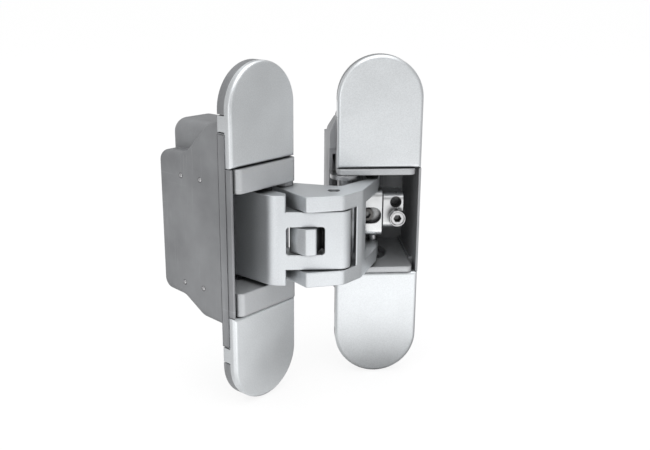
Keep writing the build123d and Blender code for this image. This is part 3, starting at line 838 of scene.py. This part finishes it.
@dataclass
class Leaf(SubAssembly):
    """One leaf: housing, caps, blocks, pivot pin and rivets with staked heads."""

    head: Dome = Dome(0.95, 0.3)
    edge_depth_mm: float = 3.2
    edge_half_mm: float = 36.5
    edge_proud_mm: float = 0.14
    edge_sunk_mm: float = 0.3
    edge_round_mm: float = 0.12
    edge_segments: int = 3
    edge_profile: float = 0.5
    weld_mm: float = 0.001
    rim_band_mm: float = 0.01

    def add_pieces(self) -> list[bpy.types.Object]:
        """Add the flange's proud edge on the far side and the rivets' staked heads.

        Returns:
            The new pieces.
        """
        prefix = self.prefixes[0]
        mounts = {mount["name"]: mount for mount in frame["record"]["mounts"]}
        seat = mounts[prefix + "seat"]
        far = self._far_side(prefix, seat)
        heads = bmesh.new()
        for end in self._rivet_ends(frame["nodes"][prefix + "block_rivets"], far):
            self.head.add(heads, end, far)
        return [
            self.piece(prefix + "flange_edge", self._flange_edge(prefix, seat, far), Slot.RAW_ZINC),
            self.piece(prefix + "rivet_heads", heads, Slot.PLATED_SCREW),
        ]

    @staticmethod
    def _far_side(prefix: str, seat: dict) -> Vector:
        """Direction across the leaf from the housing's middle to its rivets.

        Args:
            prefix: First word of the leaf's nodes.
            seat: The record's row of the leaf's seat.

        Returns:
            Unit vector, square to the leaf's face and to its length.
        """
        across = Vector(seat["axis"]).cross(UP).normalized()
        middle = sum(map(Vector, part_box(prefix + "housing")), Vector()) / 2
        rivets = sum(map(Vector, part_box(prefix + "block_rivets")), Vector()) / 2
        return across if across.dot(rivets - middle) > 0 else -across

    def _flange_edge(self, prefix: str, seat: dict, far: Vector) -> bmesh.types.BMesh:
        """Make the flange's edge that stands proud of the housing between the caps' tabs.

        Args:
            prefix: First word of the leaf's nodes.
            seat: The record's row of the leaf's seat.
            far: Direction of the far side.

        Returns:
            The edge's mesh.
        """
        face = -Vector(seat["axis"])
        back = Vector(seat["pos_m"]).dot(face)
        wall = max(v.co.dot(far) for v in frame["nodes"][prefix + "housing"].data.vertices)
        spans = [
            (back, back + self.edge_depth_mm * MM),
            (wall - self.edge_sunk_mm * MM, wall + self.edge_proud_mm * MM),
            (-self.edge_half_mm * MM, self.edge_half_mm * MM),
        ]
        axes = Matrix((face, far, UP)).transposed()
        shape = bmesh.new()
        bmesh.ops.create_cube(shape, size=1.0)
        for vert in shape.verts:
            place = Vector((low + high) / 2 + (high - low) * c for (low, high), c in zip(spans, vert.co))
            vert.co = axes @ place
        bmesh.ops.bevel(
            shape,
            geom=shape.edges[:],
            offset=self.edge_round_mm * MM,
            segments=self.edge_segments,
            affect="EDGES",
            profile=self.edge_profile,
        )
        bmesh.ops.recalc_face_normals(shape, faces=shape.faces)
        return shape

    def _rivet_ends(self, rivets: bpy.types.Object, far: Vector) -> list[Vector]:
        """Middle of each rivet's outer end.

        Args:
            rivets: Node with one mesh island for each rivet.
            far: Direction of the outer ends.

        Returns:
            Points in the frame, sorted by place so that every run gives the same order.
        """
        shape = bmesh.new()
        shape.from_mesh(rivets.data)
        bmesh.ops.remove_doubles(shape, verts=shape.verts, dist=self.weld_mm * MM)
        left = set(shape.verts)
        ends = []
        while left:
            island = {left.pop()}
            border = set(island)
            while border:
                border = {edge.other_vert(v) for v in border for edge in v.link_edges} & left
                left -= border
                island |= border
            reach = max(v.co.dot(far) for v in island)
            rim = [v.co for v in island if v.co.dot(far) > reach - self.rim_band_mm * MM]
            low = Vector(min(p[i] for p in rim) for i in range(3))
            high = Vector(max(p[i] for p in rim) for i in range(3))
            ends.append((low + high) / 2)
        shape.free()
        return sorted(ends, key=tuple)


@dataclass
class CrossingArms(SubAssembly):
    """Crossing arms with their slide pins, shoes and centre pin."""

    pin_end: Dome = Dome(1.9, 0.6)

    def add_pieces(self) -> list[bpy.types.Object]:
        """Add the centre pin's two turned ends.

        Returns:
            The new piece.
        """
        low, high = map(Vector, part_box("centre_pin"))
        middle = (low + high) / 2
        shape = bmesh.new()
        for end, way in ((high.z, UP), (low.z, -UP)):
            self.pin_end.add(shape, Vector((middle.x, middle.y, end)), way)
        return [self.piece("centre_pin_ends", shape, Slot.STEEL_PIN)]


@dataclass
class Adjuster(SubAssembly):
    """Adjuster in the frame leaf: carriage, clamp, clamp screw and side screw."""

    rim_width_mm: float = 0.75
    rim_height_mm: float = 0.45
    rim_sides: int = 48
    rim_rings: int = 8
    # Dark tone of the side screw: painted shade of the deep hole it sits in.
    painted_shade_thread: BrightMetal = BrightMetal((0.16, 0.155, 0.15), 0.32, cavity_open=0.9)

    def add_pieces(self) -> list[bpy.types.Object]:
        """Colour the side screw dark as painted shade of its deep hole, and add the turned rim on the clamp
        screw's head.

        Returns:
            The new piece.
        """
        self.finishes.dress_apart(frame["nodes"]["side_screw"], self.painted_shade_thread)
        low, high = map(Vector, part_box("clamp_screw"))
        radius = (high.z - low.z) / 2 - self.rim_width_mm * MM / 2
        middle = Vector(((low.x + high.x) / 2, low.y, (low.z + high.z) / 2))
        shape = bmesh.new()
        rows = [self._rim_section(shape, middle, radius, turn) for turn in range(self.rim_sides)]
        for row, following in zip(rows, rows[1:] + rows[:1]):
            for ring in range(self.rim_rings):
                after = (ring + 1) % self.rim_rings
                shape.faces.new((row[ring], row[after], following[after], following[ring]))
        bmesh.ops.recalc_face_normals(shape, faces=shape.faces)
        return [self.piece("clamp_screw_rim", shape, Slot.PLATED_SCREW)]

    def _rim_section(
        self, shape: bmesh.types.BMesh, middle: Vector, radius: float, turn: int
    ) -> list[bmesh.types.BMVert]:
        """Add the points of one section across the rim.

        Args:
            shape: Mesh to add to.
            middle: Middle of the screw's front face.
            radius: Radius of the rim's middle line.
            turn: Number of the section round the rim.

        Returns:
            The section's points in order.
        """
        angle = 2 * math.pi * turn / self.rim_sides
        out = Vector((math.cos(angle), 0.0, math.sin(angle)))
        points = []
        for ring in range(self.rim_rings):
            bend = 2 * math.pi * ring / self.rim_rings
            across = radius + self.rim_width_mm * MM / 2 * math.cos(bend)
            raised = self.rim_height_mm * MM * math.sin(bend)
            points.append(shape.verts.new(middle + out * across - Vector((0.0, raised, 0.0))))
        return points


@dataclass
class PhotoCamera:
    """Camera at the photograph's view; the pitch is down from level."""

    LEVEL_DEG = 90.0

    focal_px: float = 870.9
    place_mm: Point = (-42.17, -304.40, 87.85)
    pitch_deg: float = 16.55
    turn_deg: float = 4.40
    roll_deg: float = 0.42
    sensor_mm: float = 36.0
    clip_mm: Span = (10.0, 20000.0)

    def build(self) -> None:
        """Make the camera and set it as the scene's own."""
        data = bpy.data.cameras.new("photo_camera")
        data.sensor_width = self.sensor_mm
        data.lens = self.focal_px * self.sensor_mm / IMAGE_WIDTH
        data.clip_start, data.clip_end = (distance * MM for distance in self.clip_mm)
        camera = bpy.data.objects.new("photo_camera", data)
        bpy.context.scene.collection.objects.link(camera)
        turn = Matrix.Rotation(-math.radians(self.turn_deg), 3, "Z")
        tilt = Matrix.Rotation(math.radians(self.LEVEL_DEG - self.pitch_deg), 3, "X")
        roll = Matrix.Rotation(math.radians(self.roll_deg), 3, "Z")
        camera.rotation_euler = (turn @ tilt @ roll).to_euler()
        camera.location = Vector(self.place_mm) * MM
        bpy.context.scene.camera = camera


@dataclass(frozen=True)
class Card:
    """Grey card that only reflections see; one on the floor takes its height from the floor."""

    name: str
    middle_m: Point
    turn: Turn
    half_m: Span
    grey: float


@dataclass(frozen=True)
class Lamp:
    """Square soft lamp."""

    name: str
    place_m: Point
    side_m: float
    power_w: float


@dataclass
class Studio:
    """Pale floor, white surround, soft lamps and grey cards."""

    floor_gap_mm: float = 0.2
    floor_half_m: float = 6.0
    floor_tone: Colour = (0.97, 0.97, 0.97)
    floor_glow: float = 0.85
    surround: Colour = (1.0, 1.0, 1.0)
    aim_m: Point = (-0.02, 0.0, 0.0)
    card_core: float = 0.6
    lamps: tuple[Lamp, ...] = (
        Lamp("front_softbox", (-0.1, -0.6, 0.7), 1.2, 3.0),
        Lamp("left_softbox", (-0.45, -0.6, 0.05), 0.2, 0.4),
        Lamp("top_softbox", (0.0, 0.05, 0.9), 0.7, 1.5),
    )
    cards: tuple[Card, ...] = (
        Card("right_card", (0.16, 0.05, 0.14), Turn.FACING_SIDE, (0.35, 0.24), 0.38),
        Card("right_low_card", (0.078, 0.032, 0.0), Turn.ON_FLOOR, (0.14, 0.08), 0.18),
        Card("left_card", (-0.2, 0.05, 0.14), Turn.FACING_SIDE, (0.35, 0.24), 0.45),
        Card("left_low_card", (-0.15, 0.03, 0.0), Turn.ON_FLOOR, (0.12, 0.09), 0.38),
        Card("back_card", (-0.02, 0.28, 0.19), Turn.FACING_FRONT, (0.35, 0.17), 0.3),
        Card("front_card", (-0.02, -0.45, 0.14), Turn.FACING_FRONT, (0.35, 0.24), 0.45),
        Card("front_low_card", (0.016, -0.105, 0.0), Turn.ON_FLOOR, (0.06, 0.075), 1.5),
    )

    def build(self) -> None:
        """Make the floor, the world, the lamps and the cards."""
        self._floor()
        self._world()
        for lamp in self.lamps:
            self._lamp(lamp)
        for card in self.cards:
            self._card(card)

    @staticmethod
    def _board(name: str, along: Vector, up: Vector) -> tuple[bpy.types.Object, Tree]:
        """Make a flat board that isn't part of the hinge.

        Args:
            name: Board name.
            along: Half of the board's one side.
            up: Half of its other side.

        Returns:
            The board and its material's empty tree.
        """
        mesh = bpy.data.meshes.new(name)
        mesh.from_pydata([-along - up, along - up, along + up, up - along], [], [(0, 1, 2, 3)])
        board = bpy.data.objects.new(name, mesh)
        bpy.context.scene.collection.objects.link(board)
        material = bpy.data.materials.new(name)
        material.use_nodes = True
        mesh.materials.append(material)
        return board, Tree(material.node_tree)

    def _card(self, card: Card) -> None:
        """Stand one card in the studio, hidden from the camera.

        Args:
            card: Card to make.
        """
        along, up = (half * Vector(side) for half, side in zip(card.half_m, card.turn.value))
        board, tree = self._board(card.name, along, up)
        board.location = card.middle_m
        if card.turn is Turn.ON_FLOOR:
            board.location.z = CAD_BOX[0].z - self.floor_gap_mm * MM / 2
        board.visible_camera = False
        board.visible_diffuse = False
        board.visible_shadow = False
        clear = tree.add("ShaderNodeBsdfTransparent")
        tree.glow_over(self._soft_border(tree, along, up), clear.outputs["BSDF"], card.grey)

    def _soft_border(self, tree: Tree, along: Vector, up: Vector) -> bpy.types.NodeSocket:
        """Mask of a card that fades out towards its border.

        Args:
            tree: The card material's tree.
            along: Half of the card's one side.
            up: Half of its other side.

        Returns:
            The mask's socket.
        """
        place = tree.place()
        shares = [tree.dot(place, side / side.length_squared) for side in (along, up)]
        reach = tree.math("MAXIMUM", *(tree.math("ABSOLUTE", share) for share in shares))
        return tree.remap(reach, (1.0, self.card_core))

    def _floor(self) -> None:
        """Plain pale floor just under the hinge."""
        along, up = (self.floor_half_m * Vector(side) for side in Turn.ON_FLOOR.value)
        floor, tree = self._board("floor", along, up)
        floor.location.z = CAD_BOX[0].z - self.floor_gap_mm * MM
        diffuse = tree.add("ShaderNodeBsdfDiffuse")
        tree.feed(diffuse.inputs["Color"], rgba(self.floor_tone))
        share = tree.math("MULTIPLY", self._background_rays(tree), self.floor_glow)
        tree.glow_over(share, diffuse.outputs["BSDF"])

    @staticmethod
    def _background_rays(tree: Tree) -> bpy.types.NodeSocket:
        """Mask of the rays that see the floor as a pale background.

        Args:
            tree: The floor material's tree.

        Returns:
            The mask's socket.
        """
        path = tree.add("ShaderNodeLightPath")
        mask = path.outputs[Ray.CAMERA.value]
        for ray in (Ray.GLOSSY, Ray.TRANSMISSION):
            mask = tree.math("MAXIMUM", mask, path.outputs[ray.value])
        return mask

    def _world(self) -> None:
        """Even white surround."""
        world = bpy.data.worlds.new("studio")
        world.use_nodes = True
        tree = Tree(world.node_tree)
        back = tree.add("ShaderNodeBackground")
        tree.feed(back.inputs["Color"], rgba(self.surround))
        tree.surface(back.outputs["Background"], "ShaderNodeOutputWorld")
        bpy.context.scene.world = world

    def _lamp(self, lamp: Lamp) -> None:
        """Hang one lamp so that it faces the hinge.

        Args:
            lamp: Lamp to make.
        """
        data = bpy.data.lights.new(lamp.name, "AREA")
        data.size = lamp.side_m
        data.energy = lamp.power_w
        light = bpy.data.objects.new(lamp.name, data)
        light.location = lamp.place_m
        way = Vector(self.aim_m) - Vector(lamp.place_m)
        light.rotation_euler = way.to_track_quat("-Z", "Y").to_euler()
        bpy.context.scene.collection.objects.link(light)


def main() -> None:
    """Dress the hinge and report each piece, then set up the studio and the camera."""
    logging.basicConfig(level=logging.INFO, format="%(name)s: %(message)s")
    bpy.context.scene.view_settings.view_transform = "Standard"
    finishes = Finishes()
    parts = (
        Leaf(finishes, "door_leaf", ("door_",)),
        Leaf(finishes, "frame_leaf", ("frame_",)),
        CrossingArms(finishes, "outer_arm", ("inner_", "outer_", "centre_")),
        Adjuster(finishes, "carriage", ("adjuster_", "clamp_", "side_")),
    )
    for part in parts:
        for piece in part.build():
            log.info("%s dressed as %s", piece.name, piece.data.materials[0].name)
    Studio().build()
    PhotoCamera().build()


if __name__ == "__main__":
    main()
